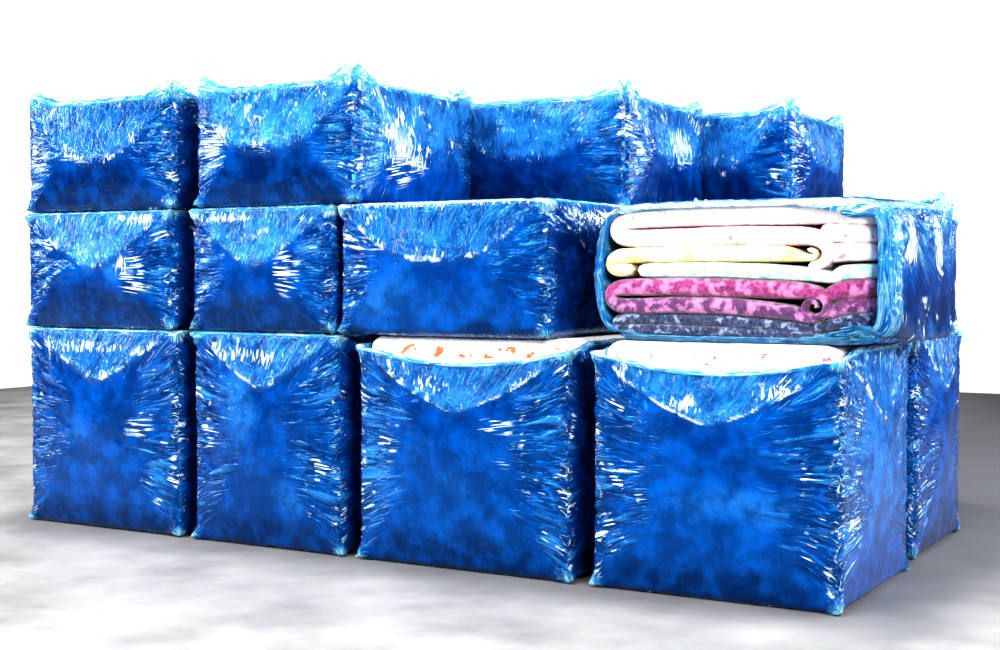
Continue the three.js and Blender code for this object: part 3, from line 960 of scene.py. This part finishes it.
def bag_lip(low, high):
    """How far the rim of a bag's mouth hangs below the bag's top: most at mid front."""
    def hang(point):
        across = np.clip(2 * (point[:, 0] - low[0]) / (high[0] - low[0]) - 1, -1, 1)
        front = 1 - smooth(0.03, 0.20, point[:, 1] - low[1])
        sag = LIP_DROP_CORNER + (LIP_DROP_MIDDLE - LIP_DROP_CORNER) * (1 - across ** 2)
        return LIP_BELOW_TOP + sag * front
    return hang


def open_mouth(point, unit, half, outward, mouth):
    """Opens one face of a bag in place: its middle goes in to the bag's end, behind a rim of
    rolled film. Gives the way that the points now face and how far they are sunk in."""
    axis, side, depth, rim_width, pulled_back = mouth
    others = [other for other in range(3) if other != axis]
    near_rim = np.min([(1 - np.abs(unit[:, other])) * half[other] for other in others], axis=0)
    on_face = unit[:, axis] * side > 1 - 1e-6
    along = (1 - side * unit[:, axis]) * half[axis]
    if axis == 1:
        round_off_mouth(point, unit, half, outward, along, others)
    point[:, axis] -= side * pulled_back(point) * (1 - smooth(0.0, 0.30, along))
    if axis == 1:
        rim_width = rim_width + RIM_WIDER_RIGHT * smooth(0.3, 0.9, unit[:, 0])
    sunk_in = on_face * smooth(rim_width, rim_width + 0.012, near_rim)
    point[:, axis] -= side * sunk_in * depth
    return np.where(on_face[:, None], 0.3 * outward, outward), sunk_in


def top_blanket(number, material):
    """The topmost blanket in an open bag, a soft block that fills the mouth."""
    node = f"bottom_front_blanket_{number}"
    low, high = (np.array(corner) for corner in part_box(node))
    seams_low, seams_high = seam_box(f"bottom_front_bag_{number}")[:2]
    low[:2] = seams_low[:2] + BLANKET_INSET
    high[:2] = seams_high[:2] - BLANKET_INSET
    low[2], high[2] = high[2] - BLANKET_DEPTH, high[2] - BLANKET_BELOW_TOP
    mesh, unit = cube_grid(f"{node}_fleece", high - low, BLANKET_CELL)
    unit = crowded(unit)
    square = (low + high) / 2 + unit * (high - low) / 2
    point, outward = rounded_box(square, low, high, BLANKET_ROUND)
    bulge = (1 - unit[:, 0] ** 4) * (1 - unit[:, 2] ** 2) * smooth(0.5, 1.0, -unit[:, 1])
    point[:, 1] -= BLANKET_BULGE * bulge
    lumps = gradient_noise(square[:, 0] / 0.06, (square[:, 2] + square[:, 1]) / 0.05, number)
    point += outward * (BLANKET_LUMPS * lumps)[:, None]
    point[:, 2] = np.clip(point[:, 2], low[2], high[2])
    mesh.vertices.foreach_set("co", point.ravel())
    piece = smooth_piece(f"{node}_fleece", mesh, material)
    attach(piece, "root")
    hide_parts(node)


white_orange = fleece_material("white_fleece_orange_print", "#fffdfb", "#f0ebe8", "#e45a2c", 0.45, 44,
                               print_row=PRINT_ROW)
white_pink = fleece_material("white_fleece_pink_print", "#fffdfb", "#f0ebeb", "#e8506a", 0.40, 30,
                             print_row=PRINT_ROW)
for number, material in ((3, white_orange), (4, white_pink)):
    bag = f"bottom_front_bag_{number}"
    seams_low, seams_high = seam_box(bag)[:2]
    mouth = (2, 1, POCKET_DEPTH, POCKET_RIM, bag_lip(seams_low, seams_high))
    film_bag(bag, CELL_SEEN, 5000 + number, BAG_FLAP, FEET["bottom"], mouth=mouth,
             pressed=(True, number == 3), pale_side=BAG_PALE_SIDE, glints=BAG_GLINTS[number])
    top_blanket(number, material)


# The open bale: its film sleeve is pulled back from the front of the pile, further at the
# right corner, and its rim is a gathered roll of film that grips the blankets all round.
SLEEVE_CELL = (0.010, 0.010, 0.008)
SLEEVE_FLAP = (0.35, 1.6, 0.3, 0.3)
SLEEVE_FOOT = 0.1
SLEEVE_DEPTH = 0.80
SLEEVE_RIM = 0.020
RIM_BACK = 0.006
CORNER_START = 0.125
CORNER_BACK = 0.072
MOUTH_SQUARENESS = 8
RIM_BOW = 0.046
RIM_WIDER_RIGHT = 0.030
# Glints on the sleeve's right side and along its top rim: painted highlights.
SLEEVE_GLINTS = {"right": [(-0.54, 0.40, 0.16, 0.26, 3.4), (0.40, 0.30, 0.12, 0.30, 3.2)],
                 "front": [(0.0, 1.0, 0.9, 0.10, 2.8)]}


def round_off_mouth(point, unit, half, outward, along, others):
    """Shapes a mouth in a bale's front: the film is drawn in to a soft rectangle that bows
    out at the left, with rolls round the rim and folds that fan out from its top corners."""
    ring = np.max(np.abs(unit[:, others]), axis=1)
    power_sum = (np.abs(unit[:, others]) ** MOUTH_SQUARENESS).sum(1)
    rounded = ring / np.maximum(power_sum, 1e-9) ** (1 / MOUTH_SQUARENESS)
    shrink = 1 + (rounded - 1) * (1 - smooth(0.0, 0.45, along))
    middle = (point.max(0) + point.min(0)) / 2
    for other in others:
        point[:, other] = middle[other] + (point[:, other] - middle[other]) * shrink
    bowed = np.clip(1 - unit[:, 2] ** 2, 0, 1) * np.clip(-unit[:, 0], 0, 1) ** 3
    point[:, 0] -= RIM_BOW * bowed * (1 - smooth(0.0, 0.35, along))
    rolls = ridges(along / 0.017, unit[:, 0] * 1.1 + unit[:, 2] * 1.7, 771, 0.3, 1.6)
    point += outward * (0.006 * rolls * (1 - smooth(0.03, 0.11, along)))[:, None]
    below = (1 - unit[:, 2]) * half[2]
    reach = np.hypot(below, along)
    fan = ridges(np.arctan2(below, along) / 0.16, reach / 0.5, 773)
    on_side = np.abs(unit[:, 0]) > 1 - 1e-6
    fan *= smooth(0.08, 0.2, reach) * (1 - smooth(0.45, 0.7, reach)) * on_side
    point += outward * (0.008 * fan)[:, None]


def sleeve_rim(right):
    """How far back the rim of the sleeve lies: at the right it follows the round corner."""
    def back(point):
        return RIM_BACK + CORNER_BACK * smooth(right - CORNER_START, right + 0.01, point[:, 0])
    return back


sleeve_low, sleeve_high = seam_box("open_bale_sleeve")[:2]
film_bag("open_bale_sleeve", SLEEVE_CELL, 6100, SLEEVE_FLAP, SLEEVE_FOOT, free_lid=True,
         mouth=(1, -1, SLEEVE_DEPTH, SLEEVE_RIM, sleeve_rim(sleeve_high[0])),
         pressed=(True, False), glints=SLEEVE_GLINTS)


# Blankets of the open bale: five thick brushed blankets, each folded flat and some rolled at
# the end, laid on each other from the grey one up to the white one.
PILE_LEFT, PILE_FRONT = sleeve_low[0], sleeve_low[1]
PILE_ROUND = 0.118
PILE_CORNER = 0.748
FOLD_DEPTH = 0.83
FOLD_BACK_GAP = 0.04
MAT_CELL = (0.009, 0.0065, 0.10)
MAT_WAVE = 0.007
MAT_LUMPS = 0.0022
MAT_SWELL = 0.002


def fold_line(stops):
    """A smooth line through the stops of a folded blanket, each with its place across the
    pile, its height and the blanket's thickness there, all in millimetres."""
    stops = np.array(stops, float) / 1000
    t = np.linspace(0, len(stops) - 1.001, 40 * len(stops))
    i = np.floor(t).astype(int)
    f = (t - i)[:, None]
    before, after = stops[np.maximum(i - 1, 0)], stops[np.minimum(i + 2, len(stops) - 1)]
    a, b = stops[i], stops[np.minimum(i + 1, len(stops) - 1)]
    line = 0.5 * (2 * a + (b - before) * f + (2 * before - 5 * a + 4 * b - after) * f ** 2
                  + (3 * a - before - 3 * b + after) * f ** 3)
    travel = np.concatenate([[0], np.cumsum(np.linalg.norm(np.diff(line[:, :2], axis=0), axis=1))])
    return line, travel


def folded_mat(name, stops, front, seed):
    """A folded mat: a bar of fleece bent along its fold line, with a round front edge."""
    line, travel = fold_line(stops)
    total = travel[-1]
    mesh, unit = cube_grid(name, (total, 0.05, FOLD_DEPTH), MAT_CELL)
    across = np.sin(unit[:, 1] * math.pi / 2)
    s = (unit[:, 0] + 1) / 2 * total
    at = np.stack([np.interp(s, travel, line[:, k]) for k in range(3)], 1)
    ahead = np.stack([np.interp(np.clip(s + 0.004, 0, total), travel, line[:, k])
                      - np.interp(np.clip(s - 0.004, 0, total), travel, line[:, k]) for k in (0, 1)], 1)
    ahead /= np.linalg.norm(ahead, axis=1, keepdims=True)
    normal = np.stack([-ahead[:, 1], ahead[:, 0]], 1)
    reach = at[:, 2] / 2
    to_end = np.minimum(s, total - s)
    end = np.sqrt(np.clip(1 - np.clip(1 - to_end / reach, 0, 1) ** 2, 0.0004, 1))
    offset = across * reach * end
    x = PILE_LEFT + at[:, 0] + normal[:, 0] * offset
    z = at[:, 1] + normal[:, 1] * offset
    past = np.clip(x - PILE_LEFT - PILE_CORNER, 0, PILE_ROUND * 0.985)
    corner = PILE_ROUND - np.sqrt(PILE_ROUND ** 2 - past ** 2)
    roll = 0.75 * reach * end * (1 - np.sqrt(np.clip(1 - across ** 2, 0, 1)))
    roll += 0.5 * reach * (1 - end)
    wave = MAT_WAVE * gradient_noise(s / 0.07, across / 1.3 + 3, seed)
    lumps = MAT_LUMPS * gradient_noise(s / 0.021, across / 0.8, seed + 1)
    into = (unit[:, 2] + 1) / 2
    y = PILE_FRONT + front + corner + roll + wave + lumps + into * (FOLD_DEPTH - FOLD_BACK_GAP - corner)
    z += MAT_SWELL * gradient_noise(s / 0.09, y / 0.2, seed + 2)
    mesh.vertices.foreach_set("co", np.stack([x, y, z], 1).ravel())
    # Along each mat's edges, where it meets the next, the fold colour is laid on: partly its border
    # colour, partly painted shade.
    ragged = 0.06 * gradient_noise(s / 0.018, across / 1.5, seed + 3)
    deep = 0.9 * smooth(0.86, 0.97, np.abs(across) + ragged)
    in_fold = mesh.attributes.new("in_fold", "FLOAT", "POINT")
    in_fold.data.foreach_set("value", deep.astype(np.float32))
    return mesh


def lay_blanket(number, mats, material):
    """Lays one blanket, of one or more folded mats, in its place in the pile. Each mat has
    its distance behind the pile's front and its stops."""
    node = f"open_bale_blanket_{number}"
    bm = bmesh.new()
    for index, (front, stops) in enumerate(mats):
        mesh = folded_mat(f"{node}_{index}", stops, front / 1000, 10 * number + 100 * index)
        bm.from_mesh(mesh)
        bpy.data.meshes.remove(mesh)
    bmesh.ops.recalc_face_normals(bm, faces=bm.faces)
    whole = bpy.data.meshes.new(node)
    bm.to_mesh(whole)
    bm.free()
    piece = smooth_piece(f"{node}_fleece", whole, material)
    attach(piece, "root")
    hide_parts(node)


WHITE = [(18, [(870, 1182, 56), (740, 1189, 60), (600, 1191, 62), (400, 1193, 64), (160, 1188, 60),
               (75, 1184, 58), (42, 1175, 56), (29, 1154, 56), (42, 1134, 56), (78, 1126, 56),
               (160, 1125, 58), (400, 1129, 60), (590, 1127, 60), (676, 1122, 54), (716, 1102, 46),
               (727, 1070, 40), (708, 1042, 32), (668, 1034, 20)]),
         (21, [(870, 1130, 54), (775, 1133, 60), (728, 1135, 60), (700, 1136, 50)]),
         (24, [(870, 1078, 56), (775, 1076, 60), (730, 1072, 58), (705, 1068, 44)])]
CREAM = [(20, [(664, 1086, 14), (690, 1076, 16), (684, 1060, 18), (650, 1062, 28), (580, 1072, 52),
               (420, 1075, 56), (170, 1073, 54), (80, 1070, 50), (34, 1067, 48), (10, 1048, 46),
               (24, 1028, 46), (58, 1025, 44), (92, 1025, 30)])]
MINT = [(14, [(870, 1022, 44), (778, 1014, 46), (745, 1000, 36), (690, 1007, 42), (600, 1014, 48),
              (420, 1022, 50), (240, 1024, 50), (150, 1023, 46), (106, 1022, 38)])]
MAGENTA = [(6, [(704, 868, 12), (668, 878, 30), (636, 889, 42), (570, 898, 48), (420, 911, 54),
                (230, 913, 52), (90, 908, 50), (38, 911, 46), (14, 933, 44), (22, 958, 46), (64, 968, 54),
                (200, 971, 58), (420, 968, 58), (600, 962, 56), (680, 957, 46), (716, 944, 34),
                (730, 918, 28), (718, 890, 25), (690, 879, 23), (665, 892, 21), (662, 917, 19),
                (682, 930, 16), (700, 918, 13), (692, 908, 10)]),
           (12, [(870, 974, 54), (780, 964, 58), (738, 950, 48), (714, 944, 38)]),
           (16, [(870, 924, 46), (780, 912, 48), (740, 895, 42), (716, 886, 30)])]
GREY = [(18, [(864, 882, 42), (760, 864, 40), (700, 850, 34), (560, 855, 36), (420, 864, 38),
              (240, 869, 38), (90, 870, 36), (38, 864, 32), (24, 848, 30), (60, 836, 32),
              (240, 834, 32), (420, 830, 30), (600, 826, 26), (720, 824, 22), (800, 836, 28)])]

PILE = [
    # colour, mats, and the fleece: pile, shade, print, its share and size, fold and reverse
    ("grey", GREY, ("grey_navy_fleece", "#3e4a72", "#0c1430", "#8494b8", 0.40, 20, "#060a20")),
    ("magenta", MAGENTA, ("magenta_fleece", "#a83e7e", "#641a4a", "#bc76a8", 0.46, 36, "#3c0a2e",
                          "#3c2854")),
    ("mint", MINT, ("mint_fleece", "#e6f6ee", "#b6d6c8", "#94d4b4", 0.46, 22, "#3c5a50")),
    ("cream", CREAM, ("cream_fleece", "#fffae0", "#fae6ac", "#fde48c", 0.46, 90, "#a08a34")),
    ("white", WHITE, ("white_fleece", "#fffdfc", "#f4ecec", "#ec7896", 0.31, 36, "#a84460")),
]
for number, (colour, mats, fleece) in enumerate(PILE, 1):
    lay_blanket(number, mats, fleece_material(*fleece))
